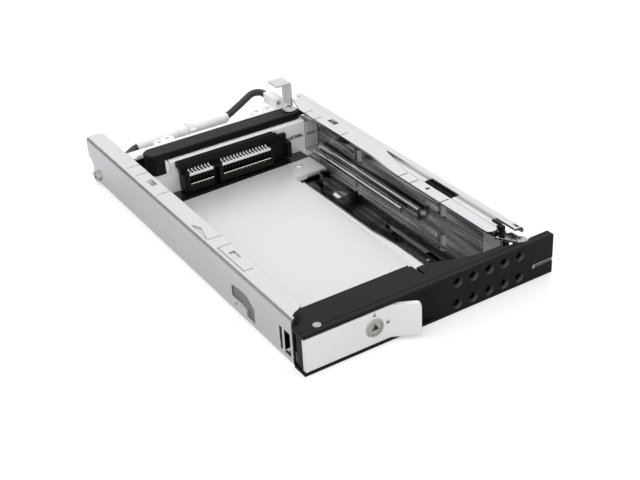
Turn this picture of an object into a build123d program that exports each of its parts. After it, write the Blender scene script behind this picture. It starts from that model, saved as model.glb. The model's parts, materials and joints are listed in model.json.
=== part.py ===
from build123d import *
import os

os.makedirs("parts", exist_ok=True)

# A slim mobile rack for one 2.5 inch hard drive: a folded steel tray with a hinged front
# door, a lever latch with a key lock, a 22-pin receptacle and an ejector arm at the rear.
# Millimetres. +X runs to the right, +Y to the rear, +Z up. The origin is the middle of the
# tray's underside.

# Drive and connector sizes that set the scale
drive_width = 69.85
drive_side_gap = 0.45
contact_pitch = 1.27
signal_count = 7
power_count = 15

# Sheet metal
steel = 0.8
thin_steel = 0.7
bend = 0.7
slit = 0.35

# Tray
tray_height = 15.8
tray_length = 139.2
left_flange = 6.2
right_flange = 3.2
side_channel = 8.5
rail_overhang = 6.1
right_wall_short = 16.0

# Door
door_overhang = 6.6
door_drop = 2.5
door_wall = 1.6
door_reveal = 5.8
door_depth = 11.9
seam = 0.3
ground_gap = 0.2

# Handle and lock
handle_plate = 1.4
handle_straight = 28.2
handle_tip_run = 8.6
handle_tip_angle = 29.0
handle_edge = 1.35
pin_radius = 1.2
running = 0.05
lock_x = 22.9
lock_radius = 2.9
lock_plug_radius = 2.2
keyway_radius = 1.5
keyway_depth = 1.6

# Rear bracket, connector, arm
backplate_v = 114.3
ledge_drop = 2.9
arm_width = 7.0
arm_thick = 2.5
pivot_u = 68.3
pivot_v = 119.3
rod_pin_u = 77.9
rod_stroke = 2.05

bay_width = drive_width + drive_side_gap
tray_width = steel + bay_width + side_channel + steel
door_width = tray_width + door_overhang
left = -tray_width / 2
right = tray_width / 2
front = -(door_reveal + tray_length / 2)
tray_front = front + door_reveal
tray_rear = tray_front + tray_length
floor = steel
rail_x = left + steel + bay_width
wall_x = right - steel
flange_x = right - right_flange
rail_wall_x = flange_x - thin_steel
door_bottom = ground_gap
door_top = tray_height - door_drop
door_height = door_top - door_bottom
handle_bottom = handle_edge
handle_height = door_top - handle_edge - handle_bottom
ledge_top = tray_height - ledge_drop
screw_y = tray_rear - 6.6
screw_z = 3.2


def box(x0, x1, y0, y1, z0, z1, mode=Mode.ADD):
    """A block between two corners, added to or cut from the open part."""
    with Locations(((x0 + x1) / 2, (y0 + y1) / 2, (z0 + z1) / 2)):
        Box(abs(x1 - x0), abs(y1 - y0), abs(z1 - z0), mode=mode)


def post(x, y, z0, z1, radius, mode=Mode.ADD):
    """An upright round post or hole."""
    with Locations((x, y, (z0 + z1) / 2)):
        Cylinder(radius, abs(z1 - z0), mode=mode)


def save(name, label):
    name.part.label = label
    export_step(name.part, "parts/" + label + ".step")


# Places along the tray that both flanges share, measured from the door's front face
slit_rear = (113.6, 106.9, 90.4)
slit_front = (55.8, 49.9, 34.0)
hole_rear = 99.2
hole_front = 43.4
tab_hole_length = 4.6
tab_hole_width = 2.0
slit_start = 1.55
tab_neck = 1.6

# Hinge of the door: upright pin near the tray's right front corner
hinge_x = left + 78.2
hinge_y = front + 4.1
ear_radius = 1.9
knuckle_radius = 2.6
rivet_radius = 1.75
heel = door_width + left - hinge_x
heel_reach = (heel ** 2 + (hinge_y - front) ** 2) ** 0.5
sweep_rear = hinge_y + heel_reach + seam
ear_top = door_top - 0.6
ear_thick = 0.7

# Foot of the push rod, which the door's heel drives back through a passage in the wall
foot_front = hinge_y + heel_reach * 0.74
foot_thick = 2.4
foot_bottom = 4.0
foot_passage = foot_front + foot_thick + rod_stroke + 2 * seam


# Housing tray: floor, two walls and two top flanges folded from one sheet
flange_z = tray_height - steel
with BuildPart() as housing_tray:
    with BuildSketch(Plane.XZ.offset(-tray_front)) as section:
        with BuildLine():
            Polyline(
                (left + left_flange, tray_height), (left, tray_height), (left, 0), (right, 0),
                (right, tray_height), (right - right_flange, tray_height),
                (right - right_flange, flange_z), (right - steel, flange_z), (right - steel, floor),
                (left + steel, floor), (left + steel, flange_z), (left + left_flange, flange_z),
                close=True)
        make_face()
        outer = section.vertices().filter_by(lambda p: abs(p.X) > right - 0.01)
        fillet(outer, bend + steel)
        inner = section.vertices().filter_by(
            lambda p: abs(abs(p.X) - (right - steel)) < 0.01)
        fillet(inner, bend)
    extrude(amount=-tray_length)

    # The right wall and its flange stop short of the tray's rear edge
    box(right - right_flange - 1, right + 1, tray_rear - right_wall_short, tray_rear + 1,
        floor + 1.2, tray_height + 1, mode=Mode.SUBTRACT)

    # Room for the door's heel, with an ear left in the floor for the hinge pin
    box(hinge_x - knuckle_radius - 1.4, right + 1, tray_front - 1, sweep_rear, -1, door_top + 0.5,
        mode=Mode.SUBTRACT)
    box(wall_x - 0.2, right + 1, sweep_rear - 1, foot_passage, foot_bottom - seam, door_top + 0.5,
        mode=Mode.SUBTRACT)
    box(hinge_x - ear_radius, hinge_x + 0.8, hinge_y, sweep_rear + 0.5, 0, steel)
    post(hinge_x, hinge_y, 0, steel, ear_radius)
    post(hinge_x, hinge_y, -1, steel + 1, pin_radius, mode=Mode.SUBTRACT)

    # Left flange: the front end sweeps back in an S, the rear inner corner is rounded
    with BuildSketch(Plane.XY.offset(flange_z - 0.1)):
        with BuildLine():
            s1 = Line((left + 1.2, tray_front - 1), (left + 1.2, tray_front + 0.9))
            s2 = TangentArc(s1 @ 1, (left + 3.6, tray_front + 2.6), tangent=(0.6, 0.8))
            s3 = TangentArc(s2 @ 1, (left + left_flange + 0.2, tray_front + 5.2), tangent=s2 % 1)
            s4 = Line(s3 @ 1, (left + left_flange + 1, tray_front - 1))
            Line(s4 @ 1, s1 @ 0)
        make_face()
    extrude(amount=steel + 0.2, mode=Mode.SUBTRACT)
    flange_ends = housing_tray.edges().filter_by(Axis.Z).filter_by(
        lambda e: e.center().Z > flange_z and abs(e.center().Y) > tray_length / 2 - right_wall_short - 1
        and (abs(e.center().X - left - left_flange) < 0.1 and e.center().Y > 0))
    fillet(flange_ends, 2.4)

    # Slits and punched holes of the spring tabs along the left flange
    for v in slit_rear + slit_front[:2]:
        box(left + slit_start, left + left_flange + 1, front + v - slit / 2, front + v + slit / 2,
            flange_z - 0.5, tray_height + 1, mode=Mode.SUBTRACT)
    # The foremost slit stops short of the edge, so that the tab stays on
    box(left + slit_start, left + left_flange - tab_neck, front + slit_front[2] - slit / 2,
        front + slit_front[2] + slit / 2, flange_z - 0.5, tray_height + 1, mode=Mode.SUBTRACT)
    for v in (hole_rear, hole_front):
        box(left + 2.9, left + 2.9 + tab_hole_width, front + v - tab_hole_length / 2,
            front + v + tab_hole_length / 2, flange_z - 0.5, tray_height + 1, mode=Mode.SUBTRACT)
    # The front tab is cut free along the bend, with a wedge-shaped relief behind it
    box(left + slit_start, left + slit_start + slit, front + slit_front[2], front + slit_front[1],
        flange_z - 0.5, tray_height + 1, mode=Mode.SUBTRACT)
    with BuildSketch(Plane.XY.offset(flange_z - 0.5)):
        with BuildLine():
            Polyline((left + 1.5, front + slit_front[0]), (left + 3.4, front + 63.5),
                     (left + 2.0, front + 66.5), (left + 1.5, front + 66.5), close=True)
        make_face()
    extrude(amount=steel + 1, mode=Mode.SUBTRACT)

    # Left wall: latch slot, catch window, rear notch and screw hole
    box(left - 1, left + steel + 0.3, front + 6.9, front + 12.6, 2.6, 10.2, mode=Mode.SUBTRACT)
    with BuildSketch(Plane.YZ.offset(left - 1)):
        with BuildLine():
            Polyline((front + 39.8, 5.4), (front + 39.8, 9.2), (front + 35.2, 9.9),
                     (front + 30.4, 9.9), (front + 26.6, 7.2), (front + 26.6, 2.6),
                     (front + 31.2, 2.6), (front + 31.2, 4.6), (front + 34.6, 5.4), close=True)
        make_face()
    extrude(amount=steel + 1.3, mode=Mode.SUBTRACT)
    with Locations(Location((left + steel / 2, tray_rear, 5.2), (0, 90, 0))):
        Cylinder(3.3, steel + 0.4, mode=Mode.SUBTRACT)
    with Locations(Location((left + steel / 2, screw_y, screw_z), (0, 90, 0))):
        Cylinder(1.6, steel + 0.4, mode=Mode.SUBTRACT)
    with Locations(Location((left + steel / 2, front + 37.3, 3.1), (0, 90, 0))):
        Cylinder(1.0, steel + 0.4, mode=Mode.SUBTRACT)

    # Right flange: one small punched hole near the front
    box(right - 2.1, right - 1.2, front + 6.2, front + 8.4, flange_z - 0.5, tray_height + 1,
        mode=Mode.SUBTRACT)

    # Floor: mounting holes and a cooling slot under the drive
    for u in (left + 10.0, right - 18.0):
        for y in (tray_front + 16.0, tray_rear - 40.0):
            post(u, y, -1, floor + 1, 1.6, mode=Mode.SUBTRACT)
save(housing_tray, "housing_tray")

# Guide rail: a folded sheet with its wall beside the rod channel, a strip that reaches in
# over the bay, and beads in its foot that guide the drive's lower edge
rail_front = front + 10.6
rail_rear = front + 126.5
rail_notch = front + 112.2
strip_width = 4.1
step_down = 1.4
ramp = (front + 72.0, front + 58.0)
rail_top = tray_height
arm_gap = 0.3
rod_height = 2.8
rod_top = ledge_top - 1.3
rod_bottom = rod_top - rod_height
rail_low = rod_top - 2.4
wall_step = 1.0
window_z = (4.6, 9.9)
windows = (front + 87.9, front + 40.1)
window_half = 2.3
foot_top = floor + thin_steel
beads = ((rail_x + 1.25, 1.1, foot_top - 0.05, 56.0), (rail_x + 4.1, 1.25, foot_top + 1.15, 50.0))
bead_rear = 110.0
slit_reach = 3.4
with BuildPart() as guide_rail:
    # Upright wall, lower in its front half and under the arm
    with BuildSketch(Plane.YZ.offset(rail_wall_x)):
        with BuildLine():
            Polyline((sweep_rear + 2, floor), (rail_rear, floor), (rail_rear, rail_low),
                     (rail_notch, rail_low), (rail_notch, rail_top), (ramp[0], rail_top),
                     (ramp[0], rail_top - thin_steel - wall_step), (sweep_rear + 2, rail_top - thin_steel - wall_step),
                     close=True)
        make_face()
    extrude(amount=thin_steel)
    # Foot on the tray's floor, with two pressed beads
    box(rail_x - 1.9, rail_wall_x + thin_steel / 2, sweep_rear + 2, front + backplate_v - 4.9, floor, foot_top)
    box(rail_x + 0.6, rail_wall_x + thin_steel / 2, front + backplate_v - 6, rail_rear, floor, foot_top)
    for x, radius, z, front_v in beads:
        bead_length = bead_rear - front_v
        with Locations(Location((x, front + (front_v + bead_rear) / 2, z), (90, 0, 0))):
            Cylinder(radius, bead_length)
        box(x - radius, x + radius, front + front_v, front + bead_rear, floor, z)
    for x, radius, z, front_v in beads:
        bead_length = bead_rear - front_v - 2 * thin_steel
        with Locations(Location((x, front + (front_v + bead_rear) / 2, z), (90, 0, 0))):
            Cylinder(radius - thin_steel * 0.75, bead_length, mode=Mode.SUBTRACT)
        box(x - radius + thin_steel, x + radius - thin_steel, front + front_v + thin_steel,
            front + bead_rear - thin_steel, floor - 1, z, mode=Mode.SUBTRACT)
    box(rail_x - 2, right, front, tray_rear, floor - 2, floor, mode=Mode.SUBTRACT)
    # End of the rail folded in to meet the backplate's corner
    box(rail_x + 0.05, rail_wall_x + thin_steel / 2, front + backplate_v, front + backplate_v + thin_steel,
        floor, rod_top - 1.3)
    # Top strip: wide and level with the flange at the rear, a stepped-down tongue in front
    with BuildSketch(Plane.YZ.offset(rail_x)):
        with BuildLine():
            Polyline((rail_front, rail_top - step_down), (ramp[1], rail_top - step_down),
                     (ramp[0], rail_top), (rail_rear, rail_top), (rail_rear, rail_top - thin_steel),
                     (ramp[0], rail_top - thin_steel), (ramp[1], rail_top - step_down - thin_steel),
                     (rail_front, rail_top - step_down - thin_steel), close=True)
        make_face()
    extrude(amount=rail_overhang)
    with BuildSketch(Plane.XY.offset(rail_top - step_down - thin_steel - 0.5)):
        with BuildLine():
            Polyline((rail_x + strip_width, rail_front - 1), (rail_x + strip_width, ramp[1]),
                     (rail_x + rail_overhang - 0.4, ramp[0] - 1.5), (rail_x + rail_overhang + 1, ramp[0] - 1.5),
                     (rail_x + rail_overhang + 1, rail_front - 1), close=True)
        make_face()
    extrude(amount=step_down + thin_steel + 1, mode=Mode.SUBTRACT)
    # The rear end of the strip narrows towards the flange
    with BuildSketch(Plane.XY.offset(rail_top - thin_steel - 0.5)):
        with BuildLine():
            Polyline((rail_x - 1, rail_notch + 5), (rail_x, rail_notch + 5), (rail_x + 3.2, rail_rear + 1),
                     (rail_x - 1, rail_rear + 1), close=True)
        make_face()
    extrude(amount=thin_steel + 1, mode=Mode.SUBTRACT)
    strip_ends = guide_rail.edges().filter_by(Axis.Z).filter_by(
        lambda e: e.center().Z > rail_top - step_down - thin_steel and e.center().Y < rail_front + 0.1)
    fillet(strip_ends, 1.6)
    # Slits from the strip's inboard edge, and punched holes, as on the left flange
    for v in slit_rear + slit_front:
        box(rail_x - 1, rail_x + slit_reach, front + v - slit / 2, front + v + slit / 2,
            rail_top - step_down - thin_steel - 0.5, rail_top + 1, mode=Mode.SUBTRACT)
    box(rail_x + 3.0, rail_x + 3.0 + tab_hole_width, front + hole_rear + 1.6 - tab_hole_length / 2,
        front + hole_rear + 1.6 + tab_hole_length / 2, rail_top - thin_steel - 0.5, rail_top + 1,
        mode=Mode.SUBTRACT)
    box(rail_x + 1.6, rail_x + 3.0, front + hole_front - 0.5, front + hole_front + 0.5,
        rail_top - step_down - thin_steel - 0.5, rail_top, mode=Mode.SUBTRACT)
    # Windows for the two spring tabs
    for y in windows:
        box(rail_wall_x - 1, rail_wall_x + thin_steel + 1, y - window_half, y + window_half, *window_z,
            mode=Mode.SUBTRACT)
save(guide_rail, "guide_rail")

# Spring tabs: bent leaves behind the rail's windows that press towards the drive
tab_reach = 0.55
leaf = 0.25
tab_root = window_half + 3.7
for number, y in enumerate(windows, start=1):
    back = rail_wall_x + thin_steel
    crest = rail_wall_x - tab_reach + 0.2
    with BuildPart() as spring_tab:
        with BuildSketch(Plane.XY.offset(window_z[0] + 0.4)):
            with BuildLine():
                Polyline((back, y + tab_root), (back, y + window_half - 0.3), (crest, y + 0.4),
                         (crest, y - 0.2), (back, y - window_half + 0.4),
                         (back + leaf, y - window_half + 0.4), (crest + leaf + 0.05, y - 0.1),
                         (crest + leaf + 0.05, y + 0.3), (back + leaf, y + window_half - 0.4),
                         (back + leaf, y + tab_root), close=True)
            make_face()
        extrude(amount=window_z[1] - window_z[0] - 0.8)
    save(spring_tab, "spring_tab_%d" % number)

# Catch plate: the leaf that stands in the window of the left wall, with its threaded boss
window_gap = 0.3
with BuildPart() as catch_plate:
    with BuildSketch(Plane.YZ.offset(left + 0.35)):
        with BuildLine():
            Polyline((front + 39.8 - window_gap, 5.4), (front + 39.8 - window_gap, 9.2 - window_gap),
                     (front + 35.2, 9.9 - window_gap), (front + 30.5, 9.9 - window_gap),
                     (front + 26.6 + window_gap, 7.1 - window_gap), (front + 26.6 + window_gap, 2.6),
                     (front + 31.2, 2.6), (front + 31.2, 4.6), (front + 34.6, 5.4), close=True)
        make_face()
        with Locations((front + 29.0, 4.6)):
            Rectangle(2.4, 0.5, mode=Mode.SUBTRACT)
    extrude(amount=steel - 0.35)
save(catch_plate, "catch_plate")

# Backplate: carries the receptacle, with a moulded ledge that the arm turns on
plate_left = left + 17.4
low_left = left + 10.6
low_top = 7.6
ledge_rear = front + 129.6
lobes = ((21.3, 131.7, 2.2), (25.0, 132.9, 2.4), (61.2, 132.4, 2.3), (65.9, 132.4, 2.5))
board_v = backplate_v + 1.6
receptacle_left = left + 20.2
receptacle_right = left + 62.9
receptacle_bottom = 1.7
receptacle_top = 10.6
with BuildPart() as backplate:
    box(plate_left, rail_x, front + backplate_v, front + backplate_v + steel, floor, ledge_top)
    box(low_left, plate_left, front + backplate_v, front + backplate_v + steel, floor, low_top)
    with BuildSketch(Plane.XY.offset(ledge_top - steel)):
        with BuildLine():
            Polyline((plate_left, front + backplate_v), (rail_x, front + backplate_v),
                     (rail_x, rail_rear), (rail_x + 3.2, rail_rear), (rail_x + 3.2, ledge_rear + 3.6),
                     (rail_x - 3.4, ledge_rear + 3.6), (rail_x - 5.6, ledge_rear), (left + 4.4, ledge_rear),
                     (left + steel, ledge_rear - 1.4), (left + steel, front + 124.2),
                     (plate_left, front + 124.2), close=True)
        make_face()
        for u, v, r in lobes:
            with Locations((left + u, front + v - 1.4)):
                Circle(r)
        for u, v, r in lobes:
            with Locations((left + u, front + v - 1.1)):
                Circle(0.75, mode=Mode.SUBTRACT)
        with Locations((left + pivot_u, front + pivot_v)):
            Circle(1.45, mode=Mode.SUBTRACT)
    extrude(amount=steel)
    front_edge = backplate.edges().filter_by(Axis.X).filter_by(
        lambda e: abs(e.center().Y - front - backplate_v) < 0.01 and e.center().Z > ledge_top - 0.01)
    fillet(front_edge, 0.6)
    # Window that the receptacle passes through
    box(receptacle_left + 2.2, receptacle_right - 2.2, front + backplate_v - 1,
        front + backplate_v + steel + 1, receptacle_bottom + 0.9, receptacle_top - 0.9,
        mode=Mode.SUBTRACT)
    box(left + 65.3, left + 69.9, front + backplate_v - 1, front + backplate_v + steel + 1,
        6.9, 7.9, mode=Mode.SUBTRACT)
    # Foot that is spot welded to the floor
    box(plate_left + 2, rail_x - 2, front + backplate_v, front + backplate_v + 5.6, floor, floor + steel)
    # Raised rim round the arm's free end
    with BuildSketch(Plane.XY.offset(ledge_top)):
        with Locations((left + 13.9, front + pivot_v)):
            Circle(6.4)
            Circle(5.5, mode=Mode.SUBTRACT)
        with Locations((left + 13.9, front + pivot_v - 4)):
            Rectangle(20, 17.8, mode=Mode.SUBTRACT)
    extrude(amount=0.5)
save(backplate, "backplate")

# Insulating film on the floor in front of the backplate
film = 0.2
with BuildPart() as insulating_film:
    with BuildSketch(Plane.XY.offset(floor)):
        with BuildLine():
            Polyline((left + 15.8, front + 106.8), (rail_x - 2.2, front + 108.8),
                     (rail_x - 2.2, front + backplate_v), (left + 13.6, front + backplate_v), close=True)
        make_face()
    extrude(amount=film)
save(insulating_film, "insulating_film")

# Circuit board behind the backplate
board_thick = 1.2
with BuildPart() as circuit_board:
    box(receptacle_left - 1.6, rail_x - 1.4, front + board_v, front + board_v + board_thick,
        floor + steel + 0.1, ledge_top - steel - 0.2)
    for u in (21.6, 67.4):
        with Locations(Location((left + u, front + board_v + board_thick / 2, 9.0), (90, 0, 0))):
            Cylinder(0.7, board_thick + 1, mode=Mode.SUBTRACT)
save(circuit_board, "circuit_board")

# Small parts soldered on the board's rear face
with BuildPart() as board_parts:
    for u, z, w, h, d in ((40.0, 6.4, 6.0, 5.0, 1.0), (48.6, 5.0, 3.0, 2.0, 0.8),
                          (48.6, 8.4, 2.0, 1.2, 0.7), (53.4, 6.6, 2.0, 3.4, 1.4)):
        box(left + u - w / 2, left + u + w / 2, front + board_v + board_thick,
            front + board_v + board_thick + d, z - h / 2, z + h / 2)
save(board_parts, "board_parts")

# Receptacle: 7 signal and 15 power contacts in one moulded housing with guide horns
receptacle_front = front + backplate_v - 4.6
shelf_front = front + backplate_v - 1.8
signal_left = left + 22.9
signal_key = 5.08
power_left = signal_left + (signal_count - 1) * contact_pitch + signal_key
power_right = power_left + (power_count - 1) * contact_pitch
slot_height = 2.4
slot_bottom = receptacle_bottom + 1.9
tongue = 1.25
with BuildPart() as receptacle:
    box(receptacle_left, receptacle_right, shelf_front, front + backplate_v, receptacle_bottom,
        receptacle_top)
    box(receptacle_left + 2.4, receptacle_right - 2.4, front + backplate_v, front + board_v,
        receptacle_bottom + 1.1, receptacle_top - 1.1)
    box(signal_left - 1.9, power_right + 1.9, receptacle_front, shelf_front, receptacle_bottom,
        receptacle_bottom + 6.3)
    # Two mating slots, split by the key, open to the front
    box(signal_left - 0.9, power_left - signal_key + 0.9, receptacle_front - 1, front + backplate_v - 0.6,
        slot_bottom, slot_bottom + slot_height, mode=Mode.SUBTRACT)
    box(power_left - 0.9, power_right + 0.9, receptacle_front - 1, front + backplate_v - 0.6,
        slot_bottom, slot_bottom + slot_height, mode=Mode.SUBTRACT)
    box(signal_left + signal_count * contact_pitch - 0.4, power_left - 1.9, receptacle_front - 1,
        receptacle_front + 2.4, receptacle_bottom - 1, receptacle_bottom + 7, mode=Mode.SUBTRACT)
    # Guide horns at both ends
    for x0, x1 in ((receptacle_left, receptacle_left + 1.5), (receptacle_right - 1.5, receptacle_right)):
        box(x0, x1, receptacle_front + 0.4, shelf_front, receptacle_bottom + 0.6, receptacle_bottom + 6.4)
    # Teeth of the upper lip, one groove above each contact
    for first, count in ((signal_left, signal_count), (power_left, power_count)):
        with Locations((first + (count - 1) * contact_pitch / 2, receptacle_front + 0.9,
                        slot_bottom + slot_height + 0.7)):
            with GridLocations(contact_pitch, 1, count, 1):
                Box(0.62, 1.9, 1.6, mode=Mode.SUBTRACT)
    # Stepped corners of the housing's top
    box(receptacle_left - 1, receptacle_left + 1.3, shelf_front - 1, front + backplate_v,
        receptacle_top - 1.5, receptacle_top + 1, mode=Mode.SUBTRACT)
    box(receptacle_right - 2.4, receptacle_right + 1, shelf_front - 1, front + backplate_v,
        receptacle_top - 2.2, receptacle_top + 1, mode=Mode.SUBTRACT)
save(receptacle, "receptacle")

# Contacts: flat springs along the bottom of the slots, with solder tails in the board
for label, first, count in (("signal_contacts", signal_left, signal_count),
                            ("power_contacts", power_left, power_count)):
    with BuildPart() as contacts:
        with Locations((first + (count - 1) * contact_pitch / 2, receptacle_front + 2.2,
                        slot_bottom + 0.15)):
            with GridLocations(contact_pitch, 1, count, 1):
                Box(0.7, 3.4, 0.3)
    save(contacts, label)

# Rear connectors on the board: a 7-pin data plug and a power header
with BuildPart() as data_connector:
    box(left + 24.0, left + 36.6, front + board_v + board_thick, front + board_v + board_thick + 7.0,
        3.2, 8.4)
    box(left + 25.2, left + 35.4, front + board_v + board_thick + 1.6,
        front + board_v + board_thick + 8.0, 4.4, 7.2, mode=Mode.SUBTRACT)
    box(left + 26.2, left + 34.4, front + board_v + board_thick + 1.6,
        front + board_v + board_thick + 6.2, 5.2, 6.3)
save(data_connector, "data_connector")
with BuildPart() as power_header:
    box(left + 56.6, left + 64.6, front + board_v + board_thick, front + board_v + board_thick + 5.6,
        3.0, 8.6)
    box(left + 57.4, left + 63.8, front + board_v + board_thick + 1.2,
        front + board_v + board_thick + 6.6, 3.8, 7.8, mode=Mode.SUBTRACT)
    with Locations((left + 60.6, front + board_v + board_thick + 2.6, 5.8)):
        with GridLocations(1.8, 1, 3, 1):
            Box(0.6, 3.2, 0.6)
save(power_header, "power_header")

# Hook bracket at the right rear, which holds the plug of the lead down
hook_top = 22.2
hook_x = rail_x + 2.5
with BuildPart() as hook_bracket:
    with BuildSketch(Plane.XZ.offset(-(front + 127.2))):
        with BuildLine():
            Polyline((hook_x, ledge_top), (hook_x + thin_steel, ledge_top), (hook_x + thin_steel, hook_top),
                     (hook_x - 5.6, hook_top), (hook_x - 5.6, hook_top - thin_steel),
                     (hook_x, hook_top - thin_steel), close=True)
        make_face()
    extrude(amount=-6.2)
    fillet(hook_bracket.edges().filter_by(Axis.Y).filter_by(
        lambda e: e.center().X > hook_x + 0.5 and e.center().Z > hook_top - 0.1), 0.8)
save(hook_bracket, "hook_bracket")

# Ejector arm: turns on the dome screw, pad at its left end, slot for the rod at its right
pivot_x = left + pivot_u
pivot_y = front + pivot_v
arm_bottom = ledge_top + arm_gap
arm_top = arm_bottom + arm_thick
pad_x = left + 13.9
pad_bottom = low_top + 0.5
rod_pin_x = left + rod_pin_u
rod_pin_radius = 0.6
rod_end_top = flange_z - arm_gap
arm_end = 1.4
pivot_radius = 1.5
with BuildPart() as ejector_arm:
    with BuildSketch(Plane.XY.offset(arm_bottom)):
        with Locations(((pad_x + pivot_x) / 2, pivot_y)):
            Rectangle(pivot_x - pad_x, arm_width)
        with Locations((pad_x, pivot_y), (pivot_x, pivot_y)):
            Circle(arm_width / 2)
    extrude(amount=arm_thick)
    chamfer(ejector_arm.faces().sort_by(Axis.Z)[-1].outer_wire().edges(), 0.3)
    # Pad that pushes the drive out
    with BuildSketch(Plane.XY.offset(pad_bottom)):
        with Locations((pad_x, pivot_y)):
            Circle(arm_width / 2)
        with Locations((pad_x + 0.6, pivot_y - arm_width / 4)):
            Rectangle(3.8, arm_width / 2)
    extrude(amount=arm_bottom - pad_bottom)
    box(pad_x + 2.5, pad_x + 8, pivot_y - arm_width, pivot_y + arm_width, pad_bottom - 1,
        arm_bottom - 0.01, mode=Mode.SUBTRACT)
    # Lower right end, under the rail's strip, with the slot for the rod's pin
    with BuildSketch(Plane.XY.offset(arm_bottom)):
        with Locations(((pivot_x + rod_pin_x) / 2, pivot_y)):
            Rectangle(rod_pin_x - pivot_x, 2 * arm_end)
        with Locations((rod_pin_x, pivot_y)):
            Circle(arm_end)
    extrude(amount=rod_end_top - arm_bottom)
    box(rail_x - 0.4, rod_pin_x + 5, pivot_y - 6, pivot_y + 6, rod_end_top, arm_top + 1,
        mode=Mode.SUBTRACT)
    with BuildSketch(Plane.XY.offset(arm_bottom - 1)):
        with Locations((rod_pin_x, pivot_y)):
            SlotCenterToCenter(0.5, 2 * (rod_pin_radius + 0.12))
    extrude(amount=arm_thick + 3, mode=Mode.SUBTRACT)
    post(pivot_x, pivot_y, arm_bottom - 1, arm_top + 1, pivot_radius + running, mode=Mode.SUBTRACT)
save(ejector_arm, "ejector_arm")

# Dome-head screw that the arm turns on, seated in the ledge
head_radius = 2.45
with BuildPart() as pivot_screw:
    post(pivot_x, pivot_y, ledge_top - steel - 1.0, ledge_top, 1.45)
    post(pivot_x, pivot_y, ledge_top, arm_top + 0.1, pivot_radius)
    with BuildSketch(Plane.XZ.offset(-pivot_y)) as dome:
        with BuildLine():
            d1 = Line((pivot_x, arm_top + 0.1), (pivot_x + head_radius, arm_top + 0.1))
            d2 = Line(d1 @ 1, (pivot_x + head_radius, arm_top + 0.5))
            d3 = ThreePointArc(d2 @ 1, (pivot_x + head_radius * 0.72, arm_top + 1.15),
                               (pivot_x, arm_top + 1.5))
            Line(d3 @ 1, d1 @ 0)
        make_face()
    revolve(axis=Axis((pivot_x, pivot_y, 0), (0, 0, 1)))
    with Locations((pivot_x, pivot_y, arm_top + 1.3)):
        Box(2.6, 0.5, 0.9, mode=Mode.SUBTRACT)
        Box(0.5, 2.6, 0.9, mode=Mode.SUBTRACT)
save(pivot_screw, "pivot_screw")

# Push rod in the side channel: a steel strip from the door's heel to the arm
rod_width = 1.1
rod_x = rail_wall_x + thin_steel + leaf + 0.35 + rod_width / 2
rod_front = foot_front + foot_thick
rod_rear = pivot_y + 3.0
rod_fork = rod_pin_radius + 0.5
with BuildPart() as push_rod:
    box(rod_x - rod_width / 2, rod_x + rod_width / 2, rod_front, rod_rear - 7, rod_bottom, rod_top)
    box(rod_pin_x - rod_fork, rod_x + rod_width / 2, rod_rear - 8, rod_rear, rod_top - 1.0, rod_top)
    post(rod_pin_x, pivot_y, rod_bottom, rod_top + 1, rod_pin_radius, mode=Mode.SUBTRACT)
    fillet(push_rod.edges().filter_by(Axis.Z).filter_by(
        lambda e: e.center().Y > rod_rear - 0.1), 0.6)
save(push_rod, "push_rod")

with BuildPart() as rod_pin:
    post(rod_pin_x, pivot_y, rod_top - 1.0, rod_end_top + 0.1, rod_pin_radius)
    post(rod_pin_x, pivot_y, rod_top - 1.6, rod_top - 1.0, rod_pin_radius + 0.35)
save(rod_pin, "rod_pin")

# Moulded foot of the rod
foot_left = rail_wall_x + thin_steel + 0.4
with BuildPart() as rod_foot:
    box(foot_left, right - 0.2, foot_front, rod_front, foot_bottom, rod_bottom - 0.4)
    box(foot_left, rod_x + rod_width / 2, foot_front, rod_front, foot_bottom, rod_top)
    box(foot_left, rod_x + rod_width / 2, rod_front, rod_front + 5.0, foot_bottom, rod_bottom)
    fillet(rod_foot.edges().filter_by(Axis.Z).filter_by(
        lambda e: e.center().Y < foot_front + 0.1), 0.6)
save(rod_foot, "rod_foot")

# Black guide block that keeps the rod straight in the channel
block_front = front + 34.0
block_rear = front + 47.6
block_inner = rail_wall_x + thin_steel
rod_space = 0.3
with BuildPart() as rod_guide:
    box(block_inner, wall_x, block_front, block_rear, floor + 1.0, rail_top - thin_steel - wall_step + 0.5)
    box(rod_x - rod_width / 2 - rod_space, rod_x + rod_width / 2 + rod_space, block_front - 1, block_rear + 1,
        rod_bottom - rod_space, rod_top + rod_space, mode=Mode.SUBTRACT)
    # Cap that reaches over the rail's wall
    box(rail_wall_x - 0.8, block_inner + 0.4, block_front, block_rear, rail_top - thin_steel - wall_step,
        rail_top - thin_steel - wall_step + 0.5)
    box(block_inner + 0.1, wall_x - 0.5, block_front + 2.2, block_rear - 2.2, rod_top + 1.0, rail_top,
        mode=Mode.SUBTRACT)
    # Pocket for the root of the front spring tab
    box(block_inner - 1, block_inner + leaf + 0.2, block_front - 1, windows[1] + tab_root + 0.3,
        window_z[0], window_z[1], mode=Mode.SUBTRACT)
save(rod_guide, "rod_guide")

# Hinge bracket: the bright plate that carries the upper end of the door's pin
bracket_top = ear_top
bracket_left = rail_x + 1.6
with BuildPart() as hinge_bracket:
    with BuildSketch(Plane.XY.offset(bracket_top - ear_thick)):
        with BuildLine():
            Polyline((bracket_left, sweep_rear + 4.0), (bracket_left, front + 9.9),
                     (hinge_x - ear_radius * 0.55, hinge_y - ear_radius * 0.8),
                     (hinge_x + 1.0, hinge_y), (hinge_x + 0.6, front + 9.0),
                     (rail_wall_x - 0.3, front + 9.9), (rail_wall_x - 0.3, sweep_rear + 4.0), close=True)
        make_face()
        with Locations((hinge_x, hinge_y)):
            Circle(ear_radius)
            Circle(pin_radius, mode=Mode.SUBTRACT)
    extrude(amount=ear_thick)
    # Leg that is spot welded to the foot of the guide rail
    box(rail_wall_x - ear_thick - 0.3, rail_wall_x - 0.3, front + 10.2, sweep_rear + 4.0,
        foot_top + 0.02, bracket_top - ear_thick)
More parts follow.
